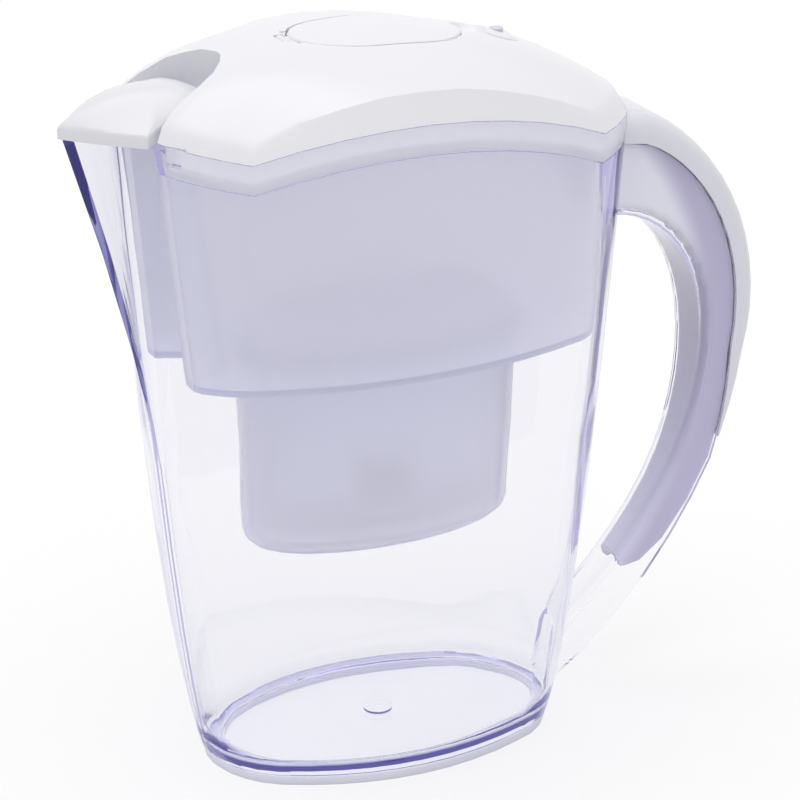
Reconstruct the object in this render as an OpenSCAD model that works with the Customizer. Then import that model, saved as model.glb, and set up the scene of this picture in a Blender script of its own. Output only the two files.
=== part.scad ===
// Water filter pitcher: a clear jug with a V-shaped pouring beak and a moulded handle,
// a tinted hopper with a filter well hung in its rim, a domed lid with a refill door,
// a swinging pouring flap and a filter cartridge.
// Frame: +Z up, +X from the beak to the handle, origin in the middle of the base.

/* [Jug] */
// Height of the jug's rim at the middle of its long sides
rim_h = 236; // [215:1:260]
// How much lower the rim is at the front corners
front_drop = 9; // [2:0.5:20]
// How much lower the rim is at the rear corners
rear_drop = 17; // [6:0.5:26]
// Half width of the jug at the rim
rim_half_w = 57.5; // [52:0.5:64]
// From the origin to the front of the body at the rim
rim_front = 92; // [86:0.5:98]
// From the origin to the back of the body at the rim
rim_back = 90; // [84:0.5:96]
// Half width of the base
base_half_w = 43; // [38:0.5:48]
// From the origin to the front of the base
base_front = 64.5; // [60:0.5:72]
// From the origin to the back of the base
base_back = 65; // [61:0.5:72]
// Wall of the jug
jug_wall = 2.6; // [2:0.1:3.4]
// Thickness of the jug's floor
floor_t = 2.4; // [1.8:0.1:4]
// Rounding where the walls run into the floor
floor_round = 4; // [2:0.5:7]

/* [Beak] */
// From the origin to the tip of the beak at its top edge
beak_reach = 112.7; // [104:0.5:120]
// How far the beak's top edge stands above the rim
beak_rise = 3.5; // [1:0.5:8]
// Height at which the beak runs out into the body
beak_foot_h = 116; // [80:1:150]
// Half width of the beak where it leaves the body, at the top
beak_half_w = 21; // [16:0.5:26]

/* [Base ring] */
// Height of the soft ring that the jug stands on
ring_h = 3.1; // [2:0.1:5]
// Width of the soft ring
ring_w = 4.2; // [3:0.1:6]
// How far the ring sits inside the jug's outline
ring_inset = 0.9; // [0.4:0.1:2]

/* [Handle] */
// From the origin to the outside of the handle at its widest
handle_reach = 147.5; // [138:0.5:156]
// Height of the handle's widest point
handle_mid_h = 140; // [125:1:155]
// Thickness of the handle at its widest point
handle_t = 21.5; // [18:0.5:25]
// Half width of the handle where it leaves the jug at the top
grip_top_half_w = 18.5; // [15:0.5:21]
// Half width of the handle at its widest point
grip_mid_half_w = 13; // [10:0.5:16]
// Half width of the handle where it joins the jug at the bottom
grip_low_half_w = 8; // [6.5:0.5:11]
// Wall of the handle channel
channel_wall = 2.2; // [1.6:0.1:3]
// Depth of the back cover's sides
cover_depth = 10.5; // [7:0.5:12.5]
// Wall of the back cover
cover_wall = 2; // [1.4:0.1:2.8]
// Wall of the grip insert
insert_wall = 2; // [1.4:0.1:2.8]

/* [Hopper] */
// Height of the collar that shows between the rim and the lid
collar_h = 10; // [7:0.5:13]
// Wall of the collar
collar_wall = 2.2; // [1.6:0.1:3]
// Wall of the hopper
hopper_wall = 2; // [1.4:0.1:2.8]
// Height of the hopper's lower edge
hopper_floor_h = 152; // [140:1:165]
// How far the hopper's lower edge stands inside the jug's outline
hopper_inset = 7.8; // [6:0.1:11]
// Depth of the pouring channel in the hopper's front wall
channel_depth = 16; // [10:0.5:20]
// Half width of the pouring channel at its mouth
channel_half_w = 12.5; // [9:0.5:15]

/* [Filter well] */
// Half length of the well at its mouth
well_half_l = 52.5; // [49:0.5:56]
// Half width of the well at its mouth
well_half_w = 27.5; // [26:0.5:32]
// Height of the well's underside
well_h = 81; // [74:1:95]
// How much the well narrows towards its bottom on each side
well_draft = 2.5; // [1:0.1:4]
// Radius of the post that stands in the well
post_r = 9.8; // [9:0.5:12]
// Height of the post above the well's floor
post_h = 25; // [18:1:32]

/* [Lid] */
// How far the lid's crown stands above the rim
crown_rise = 28; // [25:0.5:32]
// Wall of the lid
lid_wall = 2.4; // [1.8:0.1:3.2]
// Height of the crescent-shaped side of the lid at its middle
side_h = 9.6; // [6:0.5:11]
// Depth of the skirt that plugs into the hopper's collar
skirt_h = 6.5; // [4:0.5:8]
// Wall of the skirt
skirt_wall = 1.8; // [1.2:0.1:2.4]

/* [Pouring flap] */
// Wall of the flap
flap_wall = 1.8; // [1.2:0.1:2.6]
// How far the flap's crown lies below the lid's crown
flap_drop = 9.2; // [7:0.1:12]
// Radius of the flap's pivots
flap_pin_r = 1.5; // [1:0.1:2]

/* [Refill door] */
// Half length of the refill door
door_half_l = 31; // [27:0.5:34]
// Half width of the refill door
door_half_w = 19; // [15:0.5:22]
// Wall of the door
door_wall = 2; // [1.4:0.1:2.6]
// Depth of the seat that the door's skirt rests on, below the lid's crown
door_depth = 8; // [7:0.1:9.5]
// Radius of the door's hinge barrel
barrel_r = 1.9; // [1.6:0.1:2.3]
// Radius of the door's hinge pin
door_pin_r = 0.9; // [0.7:0.1:1.1]

/* [Cartridge] */
// Gap between the cartridge and the well
cartridge_gap = 0.8; // [0.4:0.1:1.5]
// Wall of the cartridge's shell
cartridge_wall = 1.5; // [1:0.1:2]
// Height of the cartridge's head above the well's mouth
head_h = 16; // [12:0.5:22]

/* [Fits] */
// Gap between parts that lift or swing apart
gap = 0.3; // [0.2:0.05:0.5]
// Radial clearance of a pin in its hole
pin_clearance = 0.05; // [0.02:0.01:0.1]
// Gap between fixed parts that clip together
clip_gap = 0.15; // [0.1:0.05:0.3]

/* [Hidden] */
$fn = 48;

// Heights that follow from the rim's.
rim_front_h = rim_h - front_drop;
rim_rear_h = rim_h - rear_drop;
beak_h = rim_h + beak_rise;
crown_h = rim_h + crown_rise;
flap_crown_h = crown_h - flap_drop;
door_seat_h = crown_h - door_depth;

// ---------- small helpers ----------
function mix(a, b, t) = a + (b - a) * t;
function clamp01(t) = max(0, min(1, t));
function ease(t) = let (u = clamp01(t)) u * u * (3 - 2 * u);
function xy(p) = [p[0], p[1]];
function unit(v) = v / norm(v);
function at_z(ring, z) = [for (p = ring) [p[0], p[1], z]];
// Points from p towards q at the given fractions, on an arc that stands out from the chord.
function arc(p, q, bulge, fractions) =
    let (side = unit([(q - p)[1], -(q - p)[0]]))
    [for (t = fractions) mix(p, q, t) + side * bulge * 4 * t * (1 - t)];
function steps(n) = [for (i = [1:n]) i / (n + 1)];
// A half outline on the -Y side, made whole by its mirror image.
function whole(half) = concat(half, [for (i = [len(half) - 2:-1:1]) [half[i][0], -half[i][1]]]);
// A closed anticlockwise outline moved inwards by d.
function inset(ring, d) =
    let (n = len(ring))
    [for (i = [0:n - 1])
        let (
            p = xy(ring[i]),
            u = unit(p - xy(ring[(i + n - 1) % n])),
            v = unit(xy(ring[(i + 1) % n]) - p)
        )
        p - [u[1] + v[1], -u[0] - v[0]] * d / (1 + u * v)];
function bezier(p, t) =
    let (s = 1 - t)
    s * s * s * p[0] + 3 * s * s * t * p[1] + 3 * s * t * t * p[2] + t * t * t * p[3];

// A closed solid through rings of equal length: the first ring is closed below, the last above.
module loft(rings) {
    n = len(rings[0]);
    m = len(rings);
    low = [for (k = [0:2]) let (r = rings[0]) [for (p = r) p[k]] * [for (p = r) 1] / n];
    top = [for (k = [0:2]) let (r = rings[m - 1]) [for (p = r) p[k]] * [for (p = r) 1] / n];
    points = concat([for (r = rings) each r], [low, top]);
    sides = [for (j = [0:m - 2], i = [0:n - 1])
        let (a = j * n + i, b = j * n + (i + 1) % n)
        each [[a, b + n, b], [a, a + n, b + n]]];
    floor_cap = [for (i = [0:n - 1]) [i, (i + 1) % n, m * n]];
    top_cap = [for (i = [0:n - 1]) [(m - 1) * n + (i + 1) % n, (m - 1) * n + i, m * n + 1]];
    polyhedron(points, concat(sides, floor_cap, top_cap));
}

// ---------- outline of the jug ----------
// Corner points of the half outline: front corner, rear corner, end of the rear flank.
rim_corner = [-rim_front + 27, -rim_half_w + 10.5];
rim_rear_corner = [rim_back - 24, -rim_half_w + 13.5];
rim_flank_end = [rim_back - 4.5, -0.42 * rim_half_w];
// A point of the base's oval at a share of its half length.
function base_point(end, share) = [end * share, -base_half_w * sqrt(1 - share * share)];
base_corner = base_point(-base_front, 0.775);
base_rear_corner = base_point(base_back, 0.585);
base_flank_end = base_point(base_back, 0.872);
crease_min = 4;
flare = 0.6;

function widening(z) = pow(clamp01(z / rim_h), flare);
function front_x(z) = -mix(base_front, rim_front, widening(z));
function back_x(z) = mix(base_back, rim_back, widening(z));
beak_sweep = 1.3;
function beak_x(z) =
    let (t = clamp01((z - beak_foot_h) / (beak_h - beak_foot_h)))
    mix(front_x(beak_foot_h), -beak_reach, pow(t, beak_sweep));
function tip(z) = [min(front_x(z), z > beak_foot_h ? beak_x(z) : front_x(z)), 0];
function crease_y(z) =
    max(crease_min, beak_half_w * sqrt(max(0, (z - beak_foot_h) / (beak_h - beak_foot_h))));
function crease(z) = [front_x(z) + 0.007 * pow(crease_y(z), 2), -crease_y(z)];
function corner(z) = mix(base_corner, rim_corner, widening(z));
function rear_corner(z) = mix(base_rear_corner, rim_rear_corner, widening(z));
function flank_end(z) = mix(base_flank_end, rim_flank_end, widening(z));

// The front flank is part of a plain oval low down and flatter towards the rim.
function flank_round(z) = lookup(z / rim_h, [[0, 0.11], [0.28, 0.165], [0.55, 0.165], [1, 0.085]]);
// From the crease round the near side to the middle of the back.
flank_steps = [0.06, 0.29, 0.53, 0.77];
seat_steps = [0.105, 0.135, 0.29, 0.53, 0.77];
function shoulder(z, flank = flank_steps) =
    let (w = widening(z), c = crease(z), a = corner(z), b = rear_corner(z), d = flank_end(z))
    concat(
        [c], arc(c, a, norm(a - c) * flank_round(z), flank),
        [a], arc(a, b, mix(10.8, 12, w), steps(8)),
        [b], arc(b, d, mix(2.5, 1.2, w), steps(2)),
        [d], arc(d, [back_x(z), 0], mix(2.3, 1.2, w), steps(2)),
        [[back_x(z), 0]]
    );
beak_hollow = 0.6;
function front_bulge(z) =
    mix(0.15, -beak_hollow, (crease_y(z) - crease_min) / (beak_half_w - crease_min));
function jug_outline(z) =
    whole(concat([tip(z)], arc(tip(z), crease(z), front_bulge(z), steps(3)), shoulder(z)));
// The same outline with a rounded front in place of the beak, as hopper and lid use it.
function seat_outline(z) =
    let (f = [front_x(z), 0])
    whole(concat([f], arc(f, crease(z), 0.8, steps(5)), shoulder(z, seat_steps)));
crease_index = 4;
points_round = 48;
function on_beak(i) = i <= crease_index || i >= points_round - crease_index;

// The seam between jug and collar: an arch along each side, level across the back.
seam_arch = rim_h - mix(rim_front_h, rim_rear_h, 0.45);
function seam(x) =
    let (t = (x - rim_corner[0]) / (rim_rear_corner[0] - rim_corner[0]))
    t < 0 ? rim_front_h - 0.16 * (x - rim_corner[0])
    : t > 1 ? rim_rear_h
    : mix(rim_front_h, rim_rear_h, t) + seam_arch * 4 * t * (1 - t);

// ---------- jug ----------
arch_from_h = 0.64 * rim_h;
function jug_z(h, i) =
    let (x = jug_outline(min(h, rim_h))[i][0], top = on_beak(i) ? beak_h : seam(x))
    h <= arch_from_h ? h : mix(arch_from_h, top, (h - arch_from_h) / (rim_h - arch_from_h));
function jug_ring(h, d) =
    [for (i = [0:points_round - 1])
        let (z = jug_z(h, i), p = d == 0 ? jug_outline(z)[i] : inset(jug_outline(z), d)[i])
        [p[0], p[1], z]];
foot_h = ring_h + 0.1;
low_levels = [for (f = [0.038, 0.072, 0.136, 0.229, 0.356]) f * rim_h];
high_levels = [for (f = [0, 0.15, 0.367, 0.667, 1]) mix(beak_foot_h, rim_h, f)];
floor_h = foot_h + 1.2 + floor_t;
lip_w = 1.6;

module jug_body() {
    foot = jug_outline(foot_h);
    ring_in = ring_inset + ring_w + clip_gap;
    loft(concat(
        [
            at_z(inset(foot, ring_in + lip_w), floor_h - floor_t),
            at_z(inset(foot, ring_in + lip_w), ring_h - 1.7),
            at_z(inset(foot, ring_in), ring_h - 1.7),
            at_z(inset(foot, ring_in), foot_h),
            at_z(inset(foot, 1), foot_h)
        ],
        [for (h = concat([foot_h + 1.4], low_levels, high_levels)) jug_ring(h, 0)],
        [for (k = [4:-1:0]) jug_ring(high_levels[k], jug_wall)],
        [for (k = [4:-1:1]) jug_ring(low_levels[k], jug_wall)],
        [
            at_z(inset(jug_outline(floor_h + floor_round), jug_wall), floor_h + floor_round),
            at_z(inset(jug_outline(floor_h), jug_wall + floor_round * 0.3), floor_h + floor_round * 0.3),
            at_z(inset(jug_outline(floor_h), jug_wall + floor_round), floor_h)
        ]
    ));
}

// ---------- handle ----------
// Inner and outer edges of the handle in the middle plane, as two curves each.
handle_in_x = handle_reach - handle_t;
handle_in_h = rim_rear_h - 31;
inner_mid = [handle_in_x, handle_mid_h - 8];
outer_mid = [handle_reach, handle_mid_h + 4];
foot_in_h = 30;
foot_out_h = 5;
inner_top = [
    [back_x(handle_in_h) - 2, handle_in_h], [rim_back + 14, handle_in_h - 2],
    inner_mid + [0, 38], inner_mid
];
inner_low = [
    inner_mid, inner_mid - [0, 32],
    [handle_reach - 35.5, 66], [back_x(foot_in_h) - 1, foot_in_h]
];
outer_top = [
    [rim_back + 2, rim_rear_h + 7], [rim_back + 22, rim_rear_h + 4],
    outer_mid + [0, 48], outer_mid
];
outer_low = [
    outer_mid, outer_mid - [0, 30],
    [handle_reach - 23.5, 44], [back_x(foot_out_h) - 1, foot_out_h]
];
function inner_edge(t) = t < 0.5 ? bezier(inner_top, 2 * t) : bezier(inner_low, 2 * t - 1);
function outer_edge(t) = t < 0.5 ? bezier(outer_top, 2 * t) : bezier(outer_low, 2 * t - 1);
function handle_depth(t) = norm(outer_edge(t) - inner_edge(t));
cover_fade = 0.56;
cover_end = 0.72;
function grip_half_w(t) = lookup(t, [
    [0, grip_top_half_w], [0.25, mix(grip_top_half_w, grip_mid_half_w, 0.35)],
    [0.5, grip_mid_half_w], [0.75, mix(grip_mid_half_w, grip_low_half_w, 0.65)], [1, grip_low_half_w]
]);
function cover_side(t) = cover_depth * clamp01((cover_end - t) / (cover_end - cover_fade));

// Half of a trough section: its outer and inner faces as [depth, y] from one lip to the bottom.
corner_steps = [0, 30, 60, 90];
function trough_half(depth, half_w, r) =
    let (rr = min(r, half_w * 0.8, depth * 0.8))
    concat([[depth, half_w]], [for (a = corner_steps) [rr * (1 - sin(a)), half_w - rr * (1 - cos(a))]]);
function trough_path(depth, half_w, r) =
    let (h = trough_half(depth, half_w, r), n = len(h))
    concat([for (p = h) [p[0], -p[1]]], [for (i = [n - 1:-1:0]) h[i]]);
// Outer path, then inner path, of a trough with walls of the given thickness.
function trough(depth, half_w, r, wall) = [
    trough_path(depth, half_w, r),
    [for (p = trough_path(max(depth - wall, 0.4), half_w - wall, max(r - wall, 0.6))) [p[0] + wall, p[1]]]
];

// A trough swept along the handle. from_outside turns its open side towards the jug.
// A seated end lies at the given distance from the jug's back face instead of across the curve.
module trough_sweep(ts, sections, from_outside, seat_start, seat_end) {
    m = len(sections[0][0]);
    n = 2 * m;
    function place(t, q) =
        let (
            a = from_outside ? outer_edge(t) : inner_edge(t),
            b = from_outside ? inner_edge(t) : outer_edge(t),
            p = a + unit(b - a) * q[0]
        )
        [p[0], q[1], p[1]];
    rings = [for (k = [0:len(ts) - 1])
        let (s = sections[k])
        concat([for (q = s[0]) place(ts[k], q)], [for (i = [m - 1:-1:0]) place(ts[k], s[1][i])])];
    count = len(rings);
    seated = [for (k = [0:count - 1])
        let (away = k == 0 ? seat_start : k == count - 1 ? seat_end : undef)
        away == undef ? rings[k] : [for (p = rings[k]) [seat_face_x(p[1], p[2]) + away, p[1], p[2]]]];
    function tri(a, b, c) = from_outside ? [a, b, c] : [a, c, b];
    sides = [for (k = [0:count - 2], i = [0:n - 1])
        let (a = k * n + i, b = k * n + (i + 1) % n)
        each [tri(a, b, b + n), tri(a, b + n, a + n)]];
    caps = [for (i = [0:m - 2])
        let (a = i, b = i + 1, c = n - 2 - i, d = n - 1 - i, e = (count - 1) * n)
        each [tri(a, c, b), tri(a, d, c), tri(e + a, e + b, e + c), tri(e + a, e + c, e + d)]];
    polyhedron([for (r = seated) each r], concat(sides, caps));
}
// The back face of the jug at a height and a distance from the middle plane.
function back_face_x(y, z) =
    let (h = shoulder(max(z, foot_h)), n = len(h))
    lookup(abs(y), [for (k = [n - 1:-1:n - 4]) [-h[k][1], h[k][0]]]);
// A trough's flat bottom is seated on the face's crown, its sides on the face itself.
function seat_face_x(y, z) = abs(y) < grip_top_half_w - channel_round ? back_x(z) : back_face_x(y, z);

channel_round = 6;
channel_ts = [for (k = [0:22]) k / 22];
module handle_channel() {
    trough_sweep(
        channel_ts,
        [for (t = channel_ts)
            trough(handle_depth(t) - cover_side(t), grip_half_w(t), channel_round, channel_wall)],
        false, -jug_wall / 2, -jug_wall / 2
    );
}
gate_r = 5.2;
gate_h = 0.8;
module jug() {
    color([0.93, 0.93, 0.98, 0.35])
    union() {
        jug_body();
        handle_channel();
        // The round mark that the moulding's gate leaves in the middle of the floor.
        translate([0, 0, floor_h - 1])
        cylinder(h = gate_h + 1, r = gate_r, $fn = 32);
    }
}

insert_start = 0.02;
insert_round = 0.78;
insert_end = 0.89;
insert_end_depth = 1.3 * (channel_round - channel_wall);
insert_ts = concat(
    [for (k = [0:14]) mix(insert_start, insert_round, k / 14)],
    [for (a = [25, 48, 66, 80]) mix(insert_round, insert_end, sin(a))]
);
function insert_depth(t) =
    let (
        full = handle_depth(t) - cover_side(t) - channel_wall - 3 * clip_gap,
        u = (t - insert_round) / (insert_end - insert_round)
    )
    max(insert_end_depth, t < insert_round ? full : full * sqrt(1 - u * u));
module handle_insert() {
    inner = channel_wall + 2 * clip_gap;
    color([0.86, 0.85, 0.93])
    trough_sweep(
        insert_ts,
        [for (t = insert_ts)
            let (
                half_w = grip_half_w(t) - inner,
                s = trough(insert_depth(t), half_w, channel_round - channel_wall, insert_wall)
            )
            [for (path = s) [for (q = path) [q[0] + inner, q[1]]]]],
        false, clip_gap
    );
}

cover_round = 7;
cover_ts = [for (k = [0:18]) mix(0.012, cover_end - 0.02, k / 18)];
module handle_cover() {
    color([0.95, 0.95, 0.97])
    trough_sweep(
        cover_ts,
        [for (t = cover_ts)
            let (wall = min(cover_wall, cover_side(t) * 0.6))
            trough(cover_side(t) - clip_gap, grip_half_w(t), cover_round, wall)],
        true, gap
    );
}

// ---------- base ring ----------
module base_ring() {
    foot = jug_outline(foot_h);
    color([0.88, 0.87, 0.94])
    linear_extrude(ring_h)
    difference() {
        polygon(inset(foot, ring_inset));
        polygon(inset(foot, ring_inset + ring_w));
    }
}

// ---------- hopper ----------
// All its rings have the columns of seat_outline; those before first_seat are the front block.
rings_round = 54;
first_seat = 8;
block_half_w = 21.5;
block_step = 9.5;
front_top_h = rim_h - 0.5;
shelf_t = 2;
rim_clear = 0.9;
function in_seat(i) = i >= first_seat && i <= rings_round - first_seat;
function seam_z(i) = seam(seat_outline(rim_h)[i][0]);
// A ring of the seat outline whose height and inset may differ from column to column.
function seat_point(i, z, d) =
    let (p = d == 0 ? seat_outline(z)[i] : inset(seat_outline(z), d)[i]) [p[0], p[1], z];
function collar_ring(rise, d) =
    [for (i = [0:rings_round - 1]) seat_point(i, seam_z(i) + gap + rise, d)];

// Front block: the pouring channel in the middle, then its near corner.
function block_half(x, corner_p) = [
    [x + channel_depth, 0],
    [x + channel_depth * 0.95, -channel_half_w * 0.36],
    [x + channel_depth * 0.78, -channel_half_w * 0.66],
    [x + channel_depth * 0.2, -channel_half_w * 0.93],
    [x, -channel_half_w * 1.06],
    [x, corner_p[1] + 1],
    [x + 0.8, corner_p[1]]
];
block_low = [front_x(hopper_floor_h) + block_step, -block_half_w];
function hopper_low_outline() =
    let (
        z = hopper_floor_h,
        d = hopper_inset,
        a = corner(z) + [0.45, 0.99] * d,
        b = rear_corner(z) + [0.42, 1.05] * d,
        e = flank_end(z) + [-0.54, 0.17] * d,
        r = [back_x(z) - 0.82 * d, 0]
    )
    whole(concat(
        block_half(block_low[0], block_low),
        arc(block_low, a, 1.5, [0.1, 0.16, 0.34, 0.56, 0.78]),
        [a], arc(a, b, 11, steps(8)),
        [b], arc(b, e, 1.5, steps(2)),
        [e], arc(e, r, 1.3, steps(2)),
        [r]
    ));
hopper_low = hopper_low_outline();
block_top = inset(seat_outline(front_top_h), jug_wall + rim_clear)[7];
hopper_top = let (half = concat(
        block_half(block_top[0] + 0.2, [block_top[0], block_top[1] + 1.6]),
        [for (i = [7:rings_round / 2]) seat_point(i, seam_z(i), jug_wall + rim_clear)]
    )) whole([for (p = half) xy(p)]);
function hopper_top_z(i) = seam_z(in_seat(i) ? i : first_seat) + gap;
// Height h runs from 0 at the lower edge to 1 under the shelf.
function hopper_ring(h, d) =
    let (flat = [for (i = [0:rings_round - 1]) mix(hopper_low[i], hopper_top[i], h)], in = inset(flat, d))
    [for (i = [0:rings_round - 1])
        [in[i][0], in[i][1], mix(hopper_floor_h, hopper_top_z(i), h)]];
// Seat rings outside the hopper's wall; the front block only grows in height instead.
function stepped_ring(rise, d, front_rise, front_d) =
    let (outer = collar_ring(rise, d), front = inset(hopper_top, front_d))
    [for (i = [0:rings_round - 1])
        in_seat(i) ? outer[i] : [front[i][0], front[i][1], front_top_h - front_rise]];

// ---------- filter well ----------
well_square = 2.05;
well_round = 6;
post_round = 3;
well_floor = well_h + hopper_wall;
post_top = well_floor + post_h;
function oval_point(a, half_l, half_w, p) =
    let (r = pow(pow(abs(cos(a)) / half_l, p) + pow(abs(sin(a)) / half_w, p), -1 / p))
    [r * cos(a), r * sin(a)];
function well_size(z) = well_draft * (hopper_floor_h - z) / (hopper_floor_h - well_h);
function well_outline(z, angles) =
    let (d = well_size(z)) [for (a = angles) oval_point(a, well_half_l - d, well_half_w - d, well_square)];
hopper_angles = [for (p = hopper_low) atan2(p[1], p[0])];
function well_ring(z, d, angles) = at_z(inset(well_outline(z, angles), d), z);
function circle_ring(r, z, angles) = [for (a = angles) [r * cos(a), r * sin(a), z]];
bottom_steps = [90, 60, 30, 0];

module hopper_shell() {
    g = hopper_angles;
    in = hopper_wall;
    loft(concat(
        [
            circle_ring(post_r - in - 2, post_top - in, g),
            circle_ring(post_r - in, post_top - in - 2, g),
            circle_ring(post_r - in, well_h, g)
        ],
        [for (a = bottom_steps)
            well_ring(well_h + well_round * (1 - cos(90 - a)), well_round * (1 - cos(a)), g)],
        [well_ring(hopper_floor_h, 0, g)],
        [hopper_ring(0, 0), hopper_ring(1, 0)],
        [stepped_ring(0, 0, 3, 0), stepped_ring(collar_h, 0, 0, 0)],
        [stepped_ring(collar_h, collar_wall, 0, in), stepped_ring(shelf_t, collar_wall, 1.5, in)],
        [for (h = [1, 0]) let (r = hopper_ring(h, in)) [for (p = r) [p[0], p[1], p[2] + in]]],
        [well_ring(hopper_floor_h, in, g)],
        [for (k = [3:-1:0]) let (a = bottom_steps[k], r = well_round - in)
            well_ring(well_floor + r * (1 - cos(90 - a)), in + r * (1 - cos(a)), g)],
        [
            circle_ring(post_r, well_floor, g),
            circle_ring(post_r, post_top - post_round, g),
            circle_ring(post_r - 0.9, post_top - 0.9, g),
            circle_ring(post_r - post_round, post_top, g)
        ]
    ));
}
outlet_r = 2.6;
outlets_round = 6;
// A short slot for the lid's latch near each front end of the collar.
slot_l = 5;
slot_h = 1.6;
slot_column = 9;
module hopper() {
    color([0.78, 0.79, 0.93, 0.6])
    difference() {
        hopper_shell();
        for (k = [0:outlets_round - 1])
            rotate([0, 0, (k + 0.5) * 360 / outlets_round])
            translate([post_r + outlet_r + 2, 0, well_h - 1])
            cylinder(h = hopper_wall + 2, r = outlet_r, $fn = 16);
        for (side = [-1, 1])
            let (
                a = seat_point(first_seat, seam_z(first_seat), 0),
                b = seat_point(slot_column, seam_z(slot_column), 0)
            )
            translate([(a[0] + b[0]) / 2, side * (a[1] + b[1]) / 2, (a[2] + b[2]) / 2 + 0.45 * collar_h])
            rotate([0, 0, -side * atan2(b[1] - a[1], b[0] - a[0])])
            cube([slot_l, 3 * collar_wall, slot_h], center = true);
    }
}

// ---------- lid ----------
lid_centre = [-0.087 * rim_front, 0];
// Fullness of the dome towards the sides, the front and the back.
side_power = 2.1;
front_power = 4.3;
back_power = 2.25;
function lid_power(p) =
    let (v = xy(p) - lid_centre, c = v[0] / norm(v)) mix(side_power, c < 0 ? front_power : back_power, c * c);
skirt_inset = collar_wall + gap + 0.05;
skirt_start_x = -rim_front + 10;
// Height of the lid's side face from its lower edge to the ridge.
function side_rise(x) =
    side_h * lookup(x, [[-90, 0.5], [-65, 0.56], [-50, 0.82], [-20, 1], [10, 1], [36, 0.85], [52, 0.74],
        [66, 0.68], [88, 0.66]]);
function edge_z(i) = seam_z(i) + collar_h + 2 * gap;
function seat_x(i) = seat_outline(rim_h)[i][0];
function edge_ring(d, rise) = [for (i = [0:rings_round - 1]) seat_point(i, edge_z(i) + rise, d)];
ridge_lean = 0.6;
function side_ring(f) =
    [for (i = [0:rings_round - 1])
        let (h = side_rise(seat_x(i)), p = inset(seat_outline(edge_z(i)), ridge_lean * h * f)[i])
        [p[0], p[1], edge_z(i) + h * f]];
ridge = side_ring(1);
ridge_in = [for (i = [0:rings_round - 1])
    let (
        h = side_rise(seat_x(i)),
        d = max(ridge_lean * h + lid_wall * 0.7, skirt_inset + skirt_wall),
        p = inset(seat_outline(edge_z(i)), d)[i]
    )
    [p[0], p[1], edge_z(i) + h - lid_wall * 0.8]];
function dome_ring(base, s, top) =
    [for (p = base)
        let (q = lid_centre + s * (xy(p) - lid_centre))
        [q[0], q[1], p[2] + (top - p[2]) * (1 - pow(s, lid_power(p)))]];
dome_steps = [0.97, 0.9, 0.79, 0.65, 0.49, 0.32, 0.14];
// Height of the dome over any point, from the ridge's radius and height in that direction.
ridge_polar = [for (i = [rings_round / 2:-1:0])
    let (v = xy(ridge[i]) - lid_centre) [atan2(abs(v[1]), v[0]), norm(v), ridge[i][2]]];
function dome_z(x, y) =
    let (
        v = [x, abs(y)] - lid_centre,
        a = atan2(v[1], v[0]),
        radius = lookup(a, [for (r = ridge_polar) [r[0], r[1]]]),
        base = lookup(a, [for (r = ridge_polar) [r[0], r[2]]]),
        s = min(1, norm(v) / radius)
    )
    base + (crown_h - base) * (1 - pow(s, norm(v) < 1 ? side_power : lid_power([x, abs(y)])));

module lid_shell() {
    loft(concat(
        [for (k = [6:-1:0]) dome_ring(ridge_in, dome_steps[k], crown_h - lid_wall)],
        [
            ridge_in,
            edge_ring(skirt_inset + skirt_wall, -skirt_h),
            edge_ring(skirt_inset, -skirt_h),
            edge_ring(skirt_inset, 0),
            edge_ring(0, 0),
            side_ring(0.5),
            ridge
        ],
        [for (s = dome_steps) dome_ring(ridge, s, crown_h)]
    ));
}
// A solid block just inside the lid's outside, to which the inner walls are trimmed.
module lid_block() {
    core = [for (i = [0:rings_round - 1])
        let (p = inset([for (q = ridge) xy(q)], block_in)[i]) [p[0], p[1], ridge[i][2] - block_in]];
    loft(concat(
        [edge_ring(skirt_inset + block_in, -skirt_h), edge_ring(skirt_inset + block_in, 0.2), core],
        [for (s = dome_steps) dome_ring(core, s, crown_h - block_in)]
    ));
}
block_in = 0.6;

// ---------- pouring flap and its opening ----------
flap_overhang = 1.6;
flap_centre = [-rim_front + 12, 0];
flap_tip_x = -beak_reach - flap_overhang;
flap_corner = crease(beak_h) + [-2.6, -flap_overhang];
flap_waist = [-rim_front + 16, -14];
flap_rear = 11;
opening_waist = flap_waist - [0, 3.6];
opening_rear = 19;
opening_corner = crease(rim_h) + [-1.6, -3.3];
rear_steps = [20, 40, 60, 80];
function rounded_rear(waist, length) =
    [for (a = rear_steps) [waist[0] + length * pow(sin(a), 1.1), waist[1] * pow(cos(a), 1.15)]];
flap_outline = whole(concat(
    [[flap_tip_x, 0]],
    arc([flap_tip_x, 0], flap_corner, 0.9, steps(3)),
    [flap_corner],
    arc(flap_corner, flap_waist, -0.8, steps(2)),
    [flap_waist],
    rounded_rear(flap_waist, flap_rear),
    [flap_waist + [flap_rear, -flap_waist[1]]]
));
function half_opening(grow) = concat(
    [opening_corner + [0, -grow]],
    arc(opening_corner + [0, -grow], opening_waist + [0, -grow], -1, steps(2)),
    [opening_waist + [0, -grow]],
    rounded_rear(opening_waist + [0, -grow], opening_rear + grow),
    [[opening_waist[0] + opening_rear + grow, 0]]
);
pivot_x = -rim_front + 15;
pivot_z = beak_h + 6.8;
trunnion_end = 19.2;
curtain_t = 2.2;
curtain_low_h = rim_h + 1.5;
function flap_low_z(x) = beak_h + gap + 0.28 * max(0, x + rim_front - 3);
function flap_edge_z(x) = beak_h + 4.2 + 7 * ease((x + rim_front) / 24);
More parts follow.
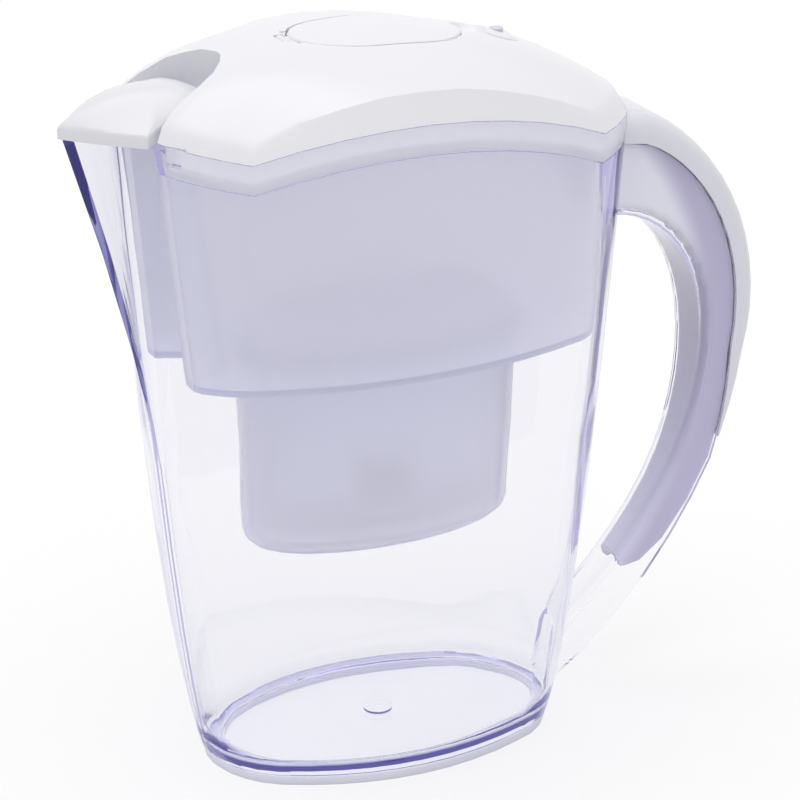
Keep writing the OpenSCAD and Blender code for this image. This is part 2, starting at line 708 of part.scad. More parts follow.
// Towards the crown the outline's corners fade into an oval.
flap_oval_front = 33;
flap_oval_rear = 15;
flap_oval_half_w = 16;
flap_front_power = 2.9;
flap_side_power = 2.3;
function flap_ring(outline, s, drop) =
    [for (p = outline)
        let (
            v = p - flap_centre,
            a = atan2(v[1], v[0]),
            oval = oval_point(a, v[0] < 0 ? flap_oval_front : flap_oval_rear, flap_oval_half_w, 2),
            q = flap_centre + s * mix(oval, v, pow(s, 3)),
            e = flap_edge_z(p[0]),
            c = v[0] / norm(v),
            power = mix(flap_side_power, v[0] < 0 ? flap_front_power : flap_side_power, c * c)
        )
        [q[0], q[1], e + (flap_crown_h - e) * (1 - pow(s, power)) - drop]];
flap_steps = [0.955, 0.87, 0.73, 0.55, 0.35, 0.14];
module flap_shell() {
    inner = inset(flap_outline, flap_wall);
    loft(concat(
        [for (k = [5:-1:0]) flap_ring(inner, flap_steps[k], flap_wall)],
        [
            flap_ring(inner, 1, flap_wall * 0.8),
            [for (p = inner) [p[0], p[1], flap_low_z(p[0])]],
            [for (p = flap_outline) [p[0], p[1], flap_low_z(p[0])]],
            flap_ring(flap_outline, 1, 0.8),
            flap_ring(flap_outline, 0.985, 0)
        ],
        [for (s = flap_steps) flap_ring(flap_outline, s, 0)]
    ));
}
module spout_flap() {
    color([0.96, 0.96, 0.98])
    union() {
        flap_shell();
        for (side = [-1, 1])
            translate([pivot_x, side * (trunnion_end + abs(flap_waist[1]) - 1) / 2, pivot_z])
            rotate([90, 0, 0])
            cylinder(h = trunnion_end - abs(flap_waist[1]) + 1, r = flap_pin_r, center = true);
    }
}
// The opening's outline in plan, grown by a wall and closed at the given x in front.
module opening_plan(grow, front) {
    half = half_opening(grow);
    n = len(half);
    far = [front, half[0][1]];
    polygon(concat([far], half, [for (k = [n - 2:-1:0]) [half[k][0], -half[k][1]]], [[far[0], -far[1]]]));
}
// The inner wall that goes down from the dome all round the opening.
module curtain() {
    translate([0, 0, curtain_low_h])
    linear_extrude(crown_h - curtain_low_h)
    opening_plan(curtain_t, opening_corner[0] - 1);
}
module flap_opening() {
    far = [-beak_reach - 10, opening_corner[1]];
    translate([0, 0, rim_front_h - 20])
    linear_extrude(crown_h)
    opening_plan(0, far[0]);
    // In front of the collar's ends the skirt is left out.
    translate([far[0], far[1] - 20, rim_front_h - 20])
    cube([skirt_start_x - far[0], 2 * (20 - far[1]), edge_z(first_seat) - rim_front_h + 20]);
}

// ---------- refill door ----------
door_square = 2.2;
door_columns = [for (k = [0:35]) -180 + k * 10];
door_gap = gap + 0.2;
// A shallow step in the lid that clears the door's corners beside the hinge.
relief_half_w = 7.8;
relief_z = 1.3;
barrel_x = -door_half_l - door_gap - barrel_r;
barrel_z = dome_z(barrel_x, 0) - barrel_r;
barrel_half = 4;
pin_half = 7.2;
house_half = 8;
seat_t = 2;
seat_lip = 4.5;
scoop_x = door_half_l + 4.5;
scoop_r = 8.5;
scoop_z = dome_z(scoop_x, 0) + 4.8;
function door_oval(grow) =
    [for (a = door_columns) oval_point(a, door_half_l + grow, door_half_w + grow, door_square)];
function door_ring(s, grow, drop) =
    [for (p = door_oval(grow)) let (q = s * p) [q[0], q[1], dome_z(q[0], q[1]) - drop]];
door_steps = [0.8, 0.6, 0.4, 0.2];
module refill_door() {
    low = door_seat_h + gap;
    color([0.97, 0.97, 0.99])
    difference() {
        union() {
            loft(concat(
                [for (k = [3:-1:0]) door_ring(door_steps[k], -door_wall, door_wall)],
                [
                    door_ring(1, -door_wall, door_wall),
                    at_z(door_oval(-door_wall), low),
                    at_z(door_oval(0), low),
                    door_ring(1, 0, 0.6),
                    door_ring(0.98, 0, 0)
                ],
                [for (s = door_steps) door_ring(s, 0, 0)]
            ));
            translate([barrel_x, 0, barrel_z])
            rotate([90, 0, 0])
            cylinder(h = 2 * barrel_half, r = barrel_r, center = true);
            translate([barrel_x, -barrel_half, barrel_z - 0.7])
            cube([barrel_r + door_gap + door_wall, 2 * barrel_half, 1.8]);
        }
        translate([barrel_x, 0, barrel_z])
        rotate([90, 0, 0])
        cylinder(h = 3 * barrel_half, r = door_pin_r + pin_clearance, center = true);
    }
}
module hinge_pin() {
    color([0.8, 0.8, 0.82])
    translate([barrel_x, 0, barrel_z])
    rotate([90, 0, 0])
    cylinder(h = 2 * pin_half, r = door_pin_r, center = true);
}
module door_seat() {
    translate([0, 0, door_seat_h - seat_t])
    linear_extrude(crown_h - door_seat_h)
    polygon(door_oval(door_gap + 2));
    translate([barrel_x - barrel_r - 2, -house_half, barrel_z - barrel_r - 2])
    cube([2 * barrel_r + 4, 2 * house_half, 2 * barrel_r + 4]);
    translate([scoop_x, 0, scoop_z])
    sphere(r = scoop_r + 2, $fn = 16);
}
module door_opening() {
    translate([0, 0, door_seat_h])
    linear_extrude(crown_h)
    polygon(door_oval(door_gap));
    translate([0, 0, door_seat_h - crown_h / 2])
    linear_extrude(crown_h)
    polygon(door_oval(-seat_lip));
    translate([barrel_x, 0, barrel_z])
    rotate([90, 0, 0])
    cylinder(h = 2 * (barrel_half + gap), r = barrel_r + gap, center = true);
    translate([barrel_x - barrel_r - gap, -barrel_half - gap, barrel_z])
    cube([2 * (barrel_r + gap), 2 * (barrel_half + gap), 20]);
    translate([barrel_x, -barrel_half - gap, barrel_z - barrel_r - gap])
    cube([barrel_r + 2, 2 * (barrel_half + gap), 20]);
    translate([barrel_x, 0, barrel_z])
    rotate([90, 0, 0])
    cylinder(h = 2 * (pin_half + 0.3), r = door_pin_r + 0.02, center = true);
    translate([barrel_x + 1.5, -relief_half_w, barrel_z + relief_z])
    cube([barrel_r + door_gap + 1, 2 * relief_half_w, 20]);
    translate([scoop_x, 0, scoop_z])
    sphere(r = scoop_r, $fn = 24);
}

// ---------- filter-change indicator ----------
bump_x = 46;
bump_half_l = 8;
bump_half_w = 7;
bump_h = 1;
bump_z = dome_z(bump_x, 0);
button_r = 2.4;
button_travel = 0.7;
button_l = 5;
button_proud = 0.8;
bump_columns = [for (k = [0:19]) -180 + k * 18];
function bump_ring(s, rise) =
    [for (a = bump_columns)
        let (p = s * oval_point(a, bump_half_l, bump_half_w, 2), x = bump_x + p[0])
        [x, p[1], dome_z(x, p[1]) + rise]];
module indicator_bump() {
    loft([
        bump_ring(1, -lid_wall + 0.4), bump_ring(1.02, 0.05), bump_ring(0.85, bump_h * 0.6),
        bump_ring(0.6, bump_h * 0.95), bump_ring(0.3, bump_h)
    ]);
    translate([bump_x, 0, bump_z - button_l - 1])
    cylinder(h = button_l + 1, r = button_r + 2, $fn = 32);
}
module button_bore() {
    translate([bump_x, 0, bump_z + bump_h - button_l - 0.5])
    cylinder(h = 20, r = button_r + pin_clearance);
}
module indicator_button() {
    low = bump_z + bump_h - button_l - 0.5 + button_travel + 0.3;
    color([0.82, 0.84, 0.9])
    translate([bump_x, 0, low])
    cylinder(h = bump_z + bump_h + button_proud - low, r = button_r);
}

module lid() {
    color([0.96, 0.96, 0.98])
    difference() {
        union() {
            lid_shell();
            intersection() {
                lid_block();
                union() {
                    curtain();
                    door_seat();
                }
            }
            indicator_bump();
        }
        flap_opening();
        door_opening();
        button_bore();
        translate([pivot_x, 0, pivot_z])
        rotate([90, 0, 0])
        cylinder(h = 2 * (trunnion_end + gap), r = flap_pin_r + pin_clearance, center = true);
    }
}

// ---------- cartridge ----------
case_angles = [for (k = [0:35]) -180 + k * 10];
fill_gap = 0.4;
case_out = hopper_wall + cartridge_gap;
case_low = well_floor + cartridge_gap;
socket_r = post_r + cartridge_gap;
socket_top = post_top + 1;
flange_low = hopper_floor_h + hopper_wall + gap + 1.5;
flange_t = 1.6;
head_top = hopper_floor_h + hopper_wall + head_h;
case_inner_floor = case_low + cartridge_wall;
function case_ring(z, d) = well_ring(min(z, hopper_floor_h), case_out + d, case_angles);
function case_at(z, d) = at_z(case_ring(z, d), z);
case_round = well_round - case_out + 1;
module cartridge_body() {
    g = case_angles;
    w = cartridge_wall;
    color([0.93, 0.93, 0.96])
    difference() {
        loft([
            circle_ring(socket_r, socket_top, g),
            circle_ring(socket_r, case_low, g),
            case_at(case_low, case_round),
            case_at(case_low + case_round * 0.3, case_round * 0.3),
            case_at(case_low + case_round, 0),
            case_at(flange_low, 0),
            case_at(flange_low, -5),
            case_at(flange_low + flange_t, -5),
            case_at(flange_low + flange_t, w),
            case_at(case_inner_floor + case_round, w),
            case_at(case_inner_floor, w + case_round * 0.6),
            circle_ring(socket_r + w, case_inner_floor, g),
            circle_ring(socket_r + w, socket_top + w, g)
        ]);
        for (k = [0:outlets_round - 1])
            rotate([0, 0, (k + 0.5) * 360 / outlets_round])
            translate([post_r + outlet_r + 2, 0, case_low - 1])
            cylinder(h = w + 2, r = 1.6, $fn = 16);
    }
}
module cartridge_seal() {
    g = case_angles;
    color([0.6, 0.62, 0.7])
    difference() {
        translate([0, 0, hopper_floor_h + hopper_wall + gap])
        linear_extrude(1.5)
        polygon([for (p = case_ring(hopper_floor_h, -4.6)) xy(p)]);
        translate([0, 0, hopper_floor_h])
        linear_extrude(10)
        polygon([for (p = case_ring(hopper_floor_h, -0.1)) xy(p)]);
    }
}
cap_low = flange_low + flange_t;
pull_half = 9;
pull_h = 12;
module cartridge_cap() {
    w = cartridge_wall;
    color([0.95, 0.95, 0.97])
    difference() {
        union() {
            loft([
                case_at(head_top - w, 13),
                case_at(head_top - w - 2, 4.5 + w),
                case_at(cap_low + 2, w),
                case_at(cap_low, w),
                case_at(cap_low, -4),
                case_at(cap_low + 1.5, -4),
                case_at(cap_low + 2, 0),
                case_at(head_top - 2, 4.5),
                case_at(head_top, 12)
            ]);
            translate([0, 0, head_top - 1])
            rotate([90, 0, 0])
            linear_extrude(3, center = true)
            difference() {
                translate([-pull_half, 0])
                square([2 * pull_half, pull_h + 1]);
                translate([-pull_half + 2.4, 0])
                square([2 * pull_half - 4.8, pull_h + 1 - 2.4]);
            }
        }
        for (side = [-1, 1], k = [0:4])
            translate([side * (14 + 6 * k) - 1.2, -10 + 0.8 * k, head_top - 6])
            cube([2.4, 20 - 1.6 * k, 10]);
    }
}
screen_t = 0.8;
module cartridge_screen(z, hole) {
    difference() {
        translate([0, 0, z])
        linear_extrude(screen_t)
        polygon([for (p = case_ring(z, cartridge_wall + fill_gap)) xy(p)]);
        if (hole > 0)
            translate([0, 0, z - 1])
            cylinder(h = 4, r = hole);
    }
}
top_screen_z = flange_low - 4;
low_screen_z = case_inner_floor + case_round + 0.2;
module upper_screen() {
    color([0.85, 0.86, 0.9])
    cartridge_screen(top_screen_z, 0);
}
module lower_screen() {
    color([0.85, 0.86, 0.9])
    cartridge_screen(low_screen_z, socket_r + cartridge_wall + fill_gap);
}
module filter_media() {
    g = case_angles;
    d = cartridge_wall + fill_gap;
    color([0.35, 0.35, 0.38])
    loft([
        circle_ring(socket_r + d, socket_top + d, g),
        circle_ring(socket_r + d, low_screen_z + screen_t, g),
        case_at(low_screen_z + screen_t, d),
        case_at(top_screen_z, d)
    ]);
}

jug();
base_ring();
handle_insert();
handle_cover();
hopper();
lid();
spout_flap();
refill_door();
hinge_pin();
indicator_button();
cartridge_body();
cartridge_cap();
cartridge_seal();
upper_screen();
lower_screen();
filter_media();
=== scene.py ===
# %% [markdown]
# # A water filter pitcher, dressed for its picture
# The real thing is a clear jug with a tinted hopper hung in its rim. A filter cartridge sits in a
# well below the hopper. The lid is glossy white, with a refill door and a flap over the beak.
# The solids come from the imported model. This lesson gives them their plastics, smooths the
# shading of their lofted walls, and sets up the studio.

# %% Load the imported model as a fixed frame
import math

import bpy
import bmesh
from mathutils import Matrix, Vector
from mathutils.kdtree import KDTree

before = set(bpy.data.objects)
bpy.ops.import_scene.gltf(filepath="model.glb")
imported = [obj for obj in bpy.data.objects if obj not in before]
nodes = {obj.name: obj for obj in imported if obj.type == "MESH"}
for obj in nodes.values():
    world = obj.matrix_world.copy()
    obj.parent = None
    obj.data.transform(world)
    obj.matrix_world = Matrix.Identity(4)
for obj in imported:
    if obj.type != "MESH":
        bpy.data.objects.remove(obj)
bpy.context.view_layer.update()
print("nodes:", ", ".join(sorted(nodes)))

# %% [markdown]
# ## The camera
# The photograph looks down on the near long side from a little in front of the middle. A camera
# that far away flattens the pitcher, so the lens is long. Azimuth is counted from the view
# straight at the near side, and elevation from the floor.

# %% Place the camera
MM = 0.001
azimuth = math.radians(-25.5)
elevation = math.radians(22.3)
distance = 1200 * MM
target = Vector((9.5 * MM, 0, 126 * MM))
towards_camera = Vector((
    math.sin(azimuth) * math.cos(elevation),
    -math.cos(azimuth) * math.cos(elevation),
    math.sin(elevation),
))
camera_data = bpy.data.cameras.new("camera")
camera_data.sensor_width = 36
camera_data.lens = 152.8
camera = bpy.data.objects.new("camera", camera_data)
camera.location = target + towards_camera * distance
camera.rotation_euler = (-towards_camera).to_track_quat("-Z", "Y").to_euler()
bpy.context.scene.collection.objects.link(camera)
bpy.context.scene.camera = camera
bpy.context.scene.view_settings.view_transform = "Standard"
print("camera at", [round(c, 3) for c in camera.location])

# %% [markdown]
# ## Smooth shading on lofted walls
# A moulded wall is one smooth surface, but the solid's wall is made of flat strips. Nothing is
# moved: every corner only gets a normal averaged over the faces that meet there at a shallow
# angle, and edges sharper than the limit stay crisp, as a moulding's edges are.

# %% Average the normals over shallow edges
def smooth_normals(piece, sharp_degrees=32, same_spot_reach=2e-6):
    mesh = piece.data
    corners = [loop.vertex_index for loop in mesh.loops]
    spots = KDTree(len(mesh.vertices))
    for index, vertex in enumerate(mesh.vertices):
        spots.insert(vertex.co, index)
    spots.balance()
    same_spot = {}
    faces_at = {}
    for index, vertex in enumerate(mesh.vertices):
        same_spot[index] = min(found[1] for found in spots.find_range(vertex.co, same_spot_reach))
    for face in mesh.polygons:
        for corner in face.vertices:
            faces_at.setdefault(same_spot[corner], []).append(face.index)
    limit = math.cos(math.radians(sharp_degrees))
    normals = [None] * len(corners)
    for face in mesh.polygons:
        own = face.normal
        for loop in face.loop_indices:
            total = Vector()
            for other in faces_at[same_spot[corners[loop]]]:
                neighbour = mesh.polygons[other]
                if neighbour.normal.dot(own) > limit:
                    total += neighbour.normal * neighbour.area
            normals[loop] = total.normalized() if total.length > 0 else own
    mesh.polygons.foreach_set("use_smooth", [True] * len(mesh.polygons))
    mesh.normals_split_custom_set(normals)


for name, piece in nodes.items():
    smooth_normals(piece)
print("smoothed", len(nodes), "pieces")

# %% [markdown]
# ## Colours and shader nodes
# Colours are written as sRGB hex values, and Blender wants linear light, so one function converts
# them. One more helper adds a shader node with its settings, input values and links. A link is a
# source node, its output, and the new node's input.

# %% Colour conversion and the add-node helper
def linear(hex_colour):
    parts = [int(hex_colour[i:i + 2], 16) / 255 for i in (1, 3, 5)]
    return [p / 12.92 if p <= 0.04045 else ((p + 0.055) / 1.055) ** 2.4 for p in parts] + [1]


def add_node(tree, kind, settings=(), inputs=(), links=()):
    node = tree.nodes.new(kind)
    for key, value in dict(settings).items():
        setattr(node, key, value)
    for key, value in dict(inputs).items():
        node.inputs[key].default_value = value
    for source, output, key in links:
        tree.links.new(source.outputs[output], node.inputs[key])
    return node


def new_plastic(name, shader_inputs):
    material = bpy.data.materials.new(name)
    material.use_nodes = True
    shader = material.node_tree.nodes["Principled BSDF"]
    for key, value in shader_inputs.items():
        shader.inputs[key].default_value = value
    return material, material.node_tree, shader


def dress(piece_name, material):
    piece = nodes[piece_name]
    piece.data.materials.clear()
    piece.data.materials.append(material)


print("middle grey in linear light:", [round(c, 3) for c in linear("#808080")[:3]])

# %% [markdown]
# ## Fine moulded skin
# Injection-moulded plastic is never optically flat: it has a long, faint waviness from shrinkage
# and a very fine polish grain. The waviness is 20 to 40 mm long. The grain is 0.5 to 1.5 mm, which
# is drawn coarser than real polish marks so that it shows.

# %% A function for the moulded skin
def moulded_skin(tree, shader, wave_mm, grain_mm, wave_height, grain_height):
    place = add_node(tree, "ShaderNodeTexCoord")
    wave = add_node(tree, "ShaderNodeTexNoise", inputs={"Scale": 1000 / wave_mm, "Detail": 1},
                    links=[(place, "Object", "Vector")])
    grain = add_node(tree, "ShaderNodeTexNoise", inputs={"Scale": 1000 / grain_mm, "Detail": 2},
                     links=[(place, "Object", "Vector")])
    swell = add_node(tree, "ShaderNodeBump", inputs={"Distance": wave_height * MM, "Strength": 1},
                     links=[(wave, "Fac", "Height")])
    skin = add_node(tree, "ShaderNodeBump", inputs={"Distance": grain_height * MM, "Strength": 1},
                    links=[(grain, "Fac", "Height"), (swell, "Normal", "Normal")])
    tree.links.new(skin.outputs["Normal"], shader.inputs["Normal"])


# %% [markdown]
# ## Light that goes through clear plastic
# Light that enters a clear wall can be trapped in it and run along it many times. A picture
# follows each ray only for a dozen bounces, and a ray that is cut off turns black. So a shadow
# ray, a ray that was scattered by a dull surface, and a ray that has bounced often enough go
# straight through the wall with a light tint. A ray that was reflected more than twice runs along
# an edge, and goes on with a darker tint. That gives the dark violet lines along the edges.

# %% A function that lets such rays through
def let_light_through(tree, shader, tint, trapped_tint, deepest, most_reflections=2.5):
    path = add_node(tree, "ShaderNodeLightPath")
    deep = add_node(tree, "ShaderNodeMath", {"operation": "GREATER_THAN"}, {1: deepest},
                    [(path, "Ray Depth", 0)])
    scattered = add_node(tree, "ShaderNodeMath", {"operation": "MAXIMUM"}, {},
                         [(path, "Is Shadow Ray", 0), (path, "Is Diffuse Ray", 1)])
    either = add_node(tree, "ShaderNodeMath", {"operation": "MAXIMUM"}, {},
                      [(deep, "Value", 0), (scattered, "Value", 1)])
    straight = add_node(tree, "ShaderNodeBsdfTransparent", {}, {"Color": linear(tint)})
    passed = add_node(tree, "ShaderNodeMixShader", {}, {},
                      [(either, "Value", 0), (shader, 0, 1), (straight, 0, 2)])
    trapped = add_node(tree, "ShaderNodeMath", {"operation": "GREATER_THAN"}, {1: most_reflections},
                       [(path, "Glossy Depth", 0)])
    dimmed = add_node(tree, "ShaderNodeBsdfTransparent", {}, {"Color": linear(trapped_tint)})
    mixed = add_node(tree, "ShaderNodeMixShader", {}, {},
                     [(trapped, "Value", 0), (passed, 0, 1), (dimmed, 0, 2)])
    tree.links.new(mixed.outputs[0], tree.nodes["Material Output"].inputs["Surface"])


# %% [markdown]
# ## Clear SAN for the jug
# The jug is injection-moulded styrene-acrylonitrile, glass-clear with a faint violet-grey cast
# that only shows where the eye looks along the wall. Transmission with SAN's IOR gives the clear
# face, and a little absorption inside the wall deepens the edges.

# %% Make the clear SAN
def clear_san():
    material, tree, shader = new_plastic("clear_san", {
        "Base Color": linear("#FFFFFF"),
        "Roughness": 0.015,
        "IOR": 1.5,
        "Transmission Weight": 1.0,
    })
    moulded_skin(tree, shader, wave_mm=30, grain_mm=1.5, wave_height=0.02, grain_height=0.0005)
    let_light_through(tree, shader, "#FBFBFE", "#C4C0E4", deepest=8.5)
    tint = add_node(tree, "ShaderNodeVolumeAbsorption", {}, {"Color": linear("#7875C4"), "Density": 20})
    tree.links.new(tint.outputs["Volume"], tree.nodes["Material Output"].inputs["Volume"])
    return material


jug_plastic = clear_san()
dress("jug", jug_plastic)
print("made", jug_plastic.name)

# %% [markdown]
# ## Frosted violet polypropylene for the hopper
# The hopper is moulded polypropylene. It is cloudy, because its crystals scatter light, and holds
# a violet dye. Part of the light goes through blurred, and part is scattered back.

# %% Make the frosted polypropylene
def frosted_polypropylene():
    material, tree, shader = new_plastic("frosted_violet_polypropylene", {
        "Base Color": linear("#FCFCFF"),
        "Roughness": 0.22,
        "IOR": 1.49,
        "Transmission Weight": 0.62,
    })
    moulded_skin(tree, shader, wave_mm=25, grain_mm=0.8, wave_height=0.02, grain_height=0.001)
    let_light_through(tree, shader, "#F9F9FD", "#D0CCEA", deepest=6.5)
    tint = add_node(tree, "ShaderNodeVolumeAbsorption", {}, {"Color": linear("#5955CB"), "Density": 26})
    tree.links.new(tint.outputs["Volume"], tree.nodes["Material Output"].inputs["Volume"])
    return material


hopper_plastic = frosted_polypropylene()
dress("hopper", hopper_plastic)
print("made", hopper_plastic.name)

# %% [markdown]
# ## White ABS for the lid, the flap, the handle cover and the button
# These are opaque white ABS from a polished mould, with a soft gloss and a slightly cool white.
# The refill door has the lid's plastic.

# %% Make the white ABS
def white_abs(name, colour, gloss_roughness):
    material, tree, shader = new_plastic(name, {
        "Base Color": linear(colour),
        "Roughness": gloss_roughness,
        "IOR": 1.5,
    })
    moulded_skin(tree, shader, wave_mm=40, grain_mm=0.7, wave_height=0.03, grain_height=0.001)
    return material


lid_plastic = white_abs("white_abs_lid", "#E9E9EE", 0.28)
# The flap's white is a little darker than the lid's: painted shade that holds down the extra lamp light
# on the flap, which faces the lamp.
flap_plastic = white_abs("white_abs_flap", "#E3E3E8", 0.26)
cover_plastic = white_abs("white_abs_handle_cover", "#E0E0E8", 0.3)
button_plastic = white_abs("white_abs_button", "#CFD0DC", 0.35)
dress("lid", lid_plastic)
dress("refill_door", lid_plastic)
dress("spout_flap", flap_plastic)
dress("handle_cover", cover_plastic)
dress("indicator_button", button_plastic)
print("made four white plastics")

# %% [markdown]
# ## Lavender soft-touch grip and the soft base ring
# The grip insert is lavender polypropylene with a satin face. The ring under the jug and the
# cartridge's seal are pale thermoplastic elastomer. All let light a few millimetres in.

# %% Make the grip plastic and the ring elastomer
def satin_plastic(name, colour, grain_mm, grain_height, roughness, depth_mm):
    material, tree, shader = new_plastic(name, {
        "Base Color": linear(colour),
        "Roughness": roughness,
        "IOR": 1.48,
        "Subsurface Weight": 0.5,
        "Subsurface Radius": (1, 0.95, 1),
        "Subsurface Scale": depth_mm * MM,
    })
    moulded_skin(tree, shader, wave_mm=30, grain_mm=grain_mm, wave_height=0.02,
                 grain_height=grain_height)
    return material


def paint_highlight_and_shade_on_grip(material, painted_highlight_colour, painted_low_shade_colour, painted_cover_shade_colour):
    # Painted highlight and painted shade: the grip is painted almost white at the fingers in its upper
    # part, where light falls on it, and darker beside the cover and lower down, where it is in shade.
    # The change follows the bow of the handle, an arc about a point inside the jug, and fades out
    # further down.
    bow_x, bow_z = -6 * MM, 130 * MM
    highlight_radius, cover_shade_radius = 127 * MM, 137 * MM
    low_shade_height, highlight_height = 118 * MM, 172 * MM
    soft = {"interpolation_type": "SMOOTHSTEP"}
    tree = material.node_tree
    place = add_node(tree, "ShaderNodeTexCoord")
    from_bow = add_node(tree, "ShaderNodeMapping",
                        inputs={"Location": (-bow_x, 0, -bow_z), "Scale": (1, 0, 1)},
                        links=[(place, "Object", "Vector")])
    radius = add_node(tree, "ShaderNodeVectorMath", {"operation": "LENGTH"},
                      links=[(from_bow, "Vector", 0)])
    cover_shade_share = add_node(tree, "ShaderNodeMapRange", soft,
                     {"From Min": highlight_radius, "From Max": cover_shade_radius}, [(radius, "Value", "Value")])
    parts = add_node(tree, "ShaderNodeSeparateXYZ", links=[(place, "Object", "Vector")])
    height = add_node(tree, "ShaderNodeMapRange", soft,
                      {"From Min": low_shade_height, "From Max": highlight_height}, [(parts, "Z", "Value")])
    inner = add_node(tree, "ShaderNodeMixRGB",
                     inputs={"Color1": linear(painted_low_shade_colour), "Color2": linear(painted_highlight_colour)},
                     links=[(height, "Result", 0)])
    whole = add_node(tree, "ShaderNodeMixRGB", inputs={"Color2": linear(painted_cover_shade_colour)},
                     links=[(cover_shade_share, "Result", 0), (inner, "Color", "Color1")])
    tree.links.new(whole.outputs["Color"], tree.nodes["Principled BSDF"].inputs["Base Color"])


grip_plastic = satin_plastic("lavender_polypropylene_grip", "#DAD6E6", 0.5, 0.002, 0.35, 3)
# Painted highlight high on the finger side, painted shade beside the cover and lower down.
paint_highlight_and_shade_on_grip(grip_plastic, "#F4F4FA", "#E0DFEC", "#C1BBD2")
ring_elastomer = satin_plastic("pale_elastomer_ring", "#E9E9F2", 0.8, 0.01, 0.6, 2)
seal_elastomer = satin_plastic("pale_elastomer_seal", "#DCDCE8", 0.8, 0.01, 0.6, 1)
dress("handle_insert", grip_plastic)
dress("base_ring", ring_elastomer)
dress("cartridge_seal", seal_elastomer)
print("made", grip_plastic.name, "and", ring_elastomer.name)

# %% [markdown]
# ## The cartridge
# The cartridge sits deep inside the frosted well and only shows as a pale shape. Its shell is
# milky polypropylene, its screens are fine polyester mesh, and its filling is pale resin granules.
# All of them let light through, so the well isn't darkened from within.

# %% Make the cartridge's plastics, mesh and granules
def milky_polypropylene(name, colour, see_through):
    material, tree, shader = new_plastic(name, {
        "Base Color": linear(colour),
        "Roughness": 0.3,
        "IOR": 1.49,
        "Transmission Weight": see_through,
    })
    moulded_skin(tree, shader, wave_mm=20, grain_mm=0.8, wave_height=0.02, grain_height=0.003)
    let_light_through(tree, shader, "#F9F9FC", "#F0F0F8", deepest=7.5)
    return material


def woven_screen(thread_mm=0.5):
    # Real filter mesh has threads about 0.1 mm apart, drawn coarser here so that they show.
    # Half of its area is open, so half of the light goes straight through.
    bricks_in_mm = 1000
    material, tree, shader = new_plastic("polyester_screen", {"Roughness": 0.6, "Alpha": 0.5})
    place = add_node(tree, "ShaderNodeTexCoord")
    weave = add_node(tree, "ShaderNodeTexBrick",
                     settings={"offset": 0},
                     inputs={"Scale": bricks_in_mm, "Mortar Size": thread_mm * 0.3,
                             "Brick Width": thread_mm, "Row Height": thread_mm,
                             "Color1": linear("#E9EAF0"), "Color2": linear("#DDDEE8"),
                             "Mortar": linear("#C4C6D2")},
                     links=[(place, "Object", "Vector")])
    tree.links.new(weave.outputs["Color"], shader.inputs["Base Color"])
    return material


def granules(grain_mm=0.9):
    material, tree, shader = new_plastic("clear_resin_granules", {
        "Roughness": 0.45, "IOR": 1.3, "Transmission Weight": 0.8,
    })
    place = add_node(tree, "ShaderNodeTexCoord")
    cells = add_node(tree, "ShaderNodeTexVoronoi", inputs={"Scale": 1000 / grain_mm},
                     links=[(place, "Object", "Vector")])
    shades = add_node(tree, "ShaderNodeValToRGB", links=[(cells, "Color", "Fac")])
    shades.color_ramp.elements[0].color = linear("#EFEEF6")
    shades.color_ramp.elements[1].color = linear("#FDFDFF")
    bump = add_node(tree, "ShaderNodeBump", inputs={"Distance": 0.2 * MM, "Strength": 0.5},
                    links=[(cells, "Distance", "Height")])
    tree.links.new(shades.outputs["Color"], shader.inputs["Base Color"])
    tree.links.new(bump.outputs["Normal"], shader.inputs["Normal"])
    let_light_through(tree, shader, "#F6F6FA", "#F0F0F8", deepest=7.5)
    return material


shell_plastic = milky_polypropylene("milky_polypropylene_shell", "#FCFCFF", 0.85)
dress("cartridge_body", shell_plastic)
dress("cartridge_cap", milky_polypropylene("milky_polypropylene_cap", "#FAFAFD", 0.7))
screen_mesh = woven_screen()
dress("upper_screen", screen_mesh)
dress("lower_screen", screen_mesh)
dress("filter_media", granules())
print("dressed the cartridge")

# %% [markdown]
# ## The hinge pin
# The refill door turns on a short stainless steel pin. Drawn wire keeps fine lines along it, and a
# metal keeps the default IOR.

# %% Make the drawn steel
def drawn_steel(line_mm=0.3):
    material, tree, shader = new_plastic("drawn_stainless_steel", {
        "Base Color": linear("#C8C8CC"), "Metallic": 1.0, "Roughness": 0.3,
    })
    place = add_node(tree, "ShaderNodeTexCoord")
    stretched = add_node(tree, "ShaderNodeMapping", inputs={"Scale": (1, 0.02, 1)},
                         links=[(place, "Object", "Vector")])
    lines = add_node(tree, "ShaderNodeTexNoise", inputs={"Scale": 1000 / line_mm},
                     links=[(stretched, "Vector", "Vector")])
    bump = add_node(tree, "ShaderNodeBump", inputs={"Distance": 0.005 * MM, "Strength": 1},
                    links=[(lines, "Fac", "Height")])
    tree.links.new(bump.outputs["Normal"], shader.inputs["Normal"])
    return material


dress("hinge_pin", drawn_steel())
print("made the drawn steel")

# %% [markdown]
# ## The studio
# The pitcher stands on a wide pale floor, under one broad soft lamp and an even world. Clear
# plastic shows what is around it, so the floor and the world are white to the eye, to
# reflections and to light that comes through the plastic. Near the pitcher the floor is only
# partly so, and keeps its shadow.

# %% Build the floor
def seen_directly(tree, one_surface=1.5):
    # A light path counts one see-through surface more than it has passed when it tests a lamp, so
    # only a second surface tells that it went straight through a wall.
    path = add_node(tree, "ShaderNodeLightPath")
    passed = add_node(tree, "ShaderNodeMath", {"operation": "GREATER_THAN"}, {1: one_surface},
                      [(path, "Transparent Depth", 0)])
    through = add_node(tree, "ShaderNodeMath", {"operation": "MAXIMUM"}, {},
                       [(path, "Is Transmission Ray", 0), (passed, "Value", 1)])
    seen = add_node(tree, "ShaderNodeMath", {"operation": "MAXIMUM"}, {},
                    [(path, "Is Camera Ray", 0), (path, "Is Glossy Ray", 1)])
    return add_node(tree, "ShaderNodeMath", {"operation": "MAXIMUM"}, {},
                    [(through, "Value", 0), (seen, "Value", 1)])


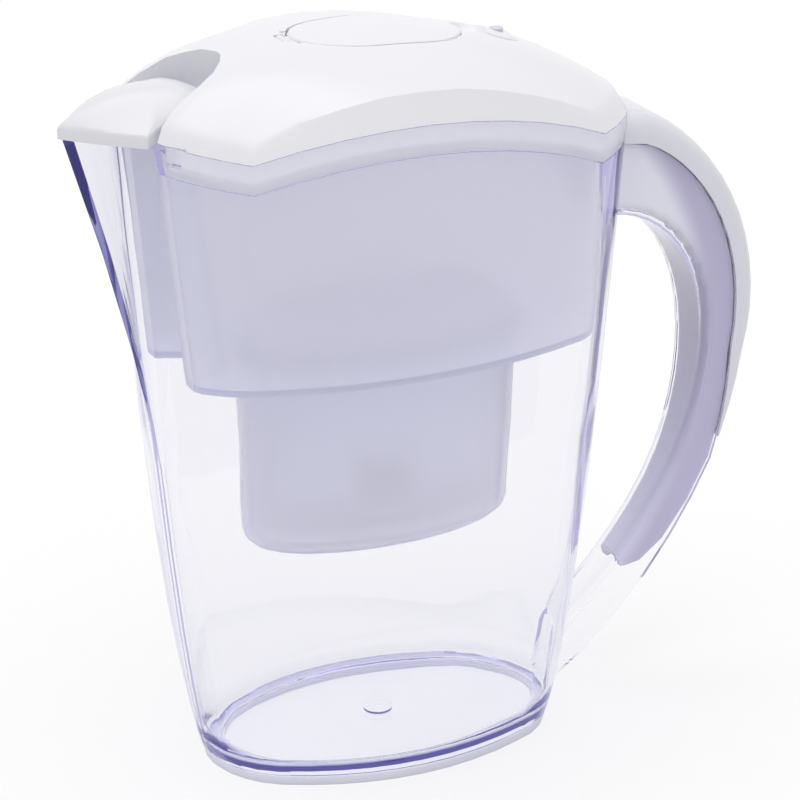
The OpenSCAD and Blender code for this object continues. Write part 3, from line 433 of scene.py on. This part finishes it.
def studio_white(near_glow=0.7, shadow_reach=0.3, all_white_at=0.9):
    material, tree, shader = new_plastic("studio_white", {
        "Base Color": linear("#FBFBFC"),
        "Roughness": 0.9,
    })
    place = add_node(tree, "ShaderNodeTexCoord")
    away = add_node(tree, "ShaderNodeVectorMath", {"operation": "LENGTH"},
                    links=[(place, "Object", 0)])
    fade = add_node(tree, "ShaderNodeMapRange", {"interpolation_type": "SMOOTHSTEP"},
                    {"From Min": shadow_reach, "From Max": all_white_at,
                     "To Min": near_glow, "To Max": 1},
                    [(away, "Value", "Value")])
    share = add_node(tree, "ShaderNodeMath", {"operation": "MULTIPLY"}, {},
                     [(seen_directly(tree), "Value", 0), (fade, "Result", 1)])
    glow = add_node(tree, "ShaderNodeEmission", {}, {"Color": linear("#FFFFFF"), "Strength": 1})
    mixed = add_node(tree, "ShaderNodeMixShader", {}, {},
                     [(share, "Value", 0), (shader, 0, 1), (glow, 0, 2)])
    tree.links.new(mixed.outputs[0], tree.nodes["Material Output"].inputs["Surface"])
    return material


floor_half = 3.0
floor_mesh = bpy.data.meshes.new("floor")
shape = bmesh.new()
for x, y in ((-1, -1), (1, -1), (1, 1), (-1, 1)):
    shape.verts.new((x * floor_half, y * floor_half, 0))
shape.faces.new(shape.verts)
shape.to_mesh(floor_mesh)
shape.free()
floor = bpy.data.objects.new("floor", floor_mesh)
bpy.context.scene.collection.objects.link(floor)
floor_mesh.materials.append(studio_white())
print("floor", 2 * floor_half, "m wide")


# %% Light the studio
def area_light(name, place, size, power):
    lamp = bpy.data.lights.new(name, "AREA")
    lamp.shape = "DISK"
    lamp.size = size
    lamp.energy = power
    holder = bpy.data.objects.new(name, lamp)
    holder.location = place
    holder.rotation_euler = (target - Vector(place)).to_track_quat("-Z", "Y").to_euler()
    bpy.context.scene.collection.objects.link(holder)


area_light("top_light", (-0.3, -0.1, 5.0), size=6.0, power=165)
level_on_surfaces = 0.55
world = bpy.data.worlds.new("studio")
bpy.context.scene.world = world
world.use_nodes = True
sky = world.node_tree
dim = sky.nodes["Background"]
dim.inputs["Color"].default_value = linear("#FFFFFF")
dim.inputs["Strength"].default_value = level_on_surfaces
white = add_node(sky, "ShaderNodeBackground", {}, {"Color": linear("#FFFFFF"), "Strength": 1})
both = add_node(sky, "ShaderNodeMixShader", {}, {},
                [(seen_directly(sky), "Value", 0), (dim, 0, 1), (white, 0, 2)])
sky.links.new(both.outputs[0], sky.nodes["World Output"].inputs["Surface"])
print("one broad lamp and a white world")
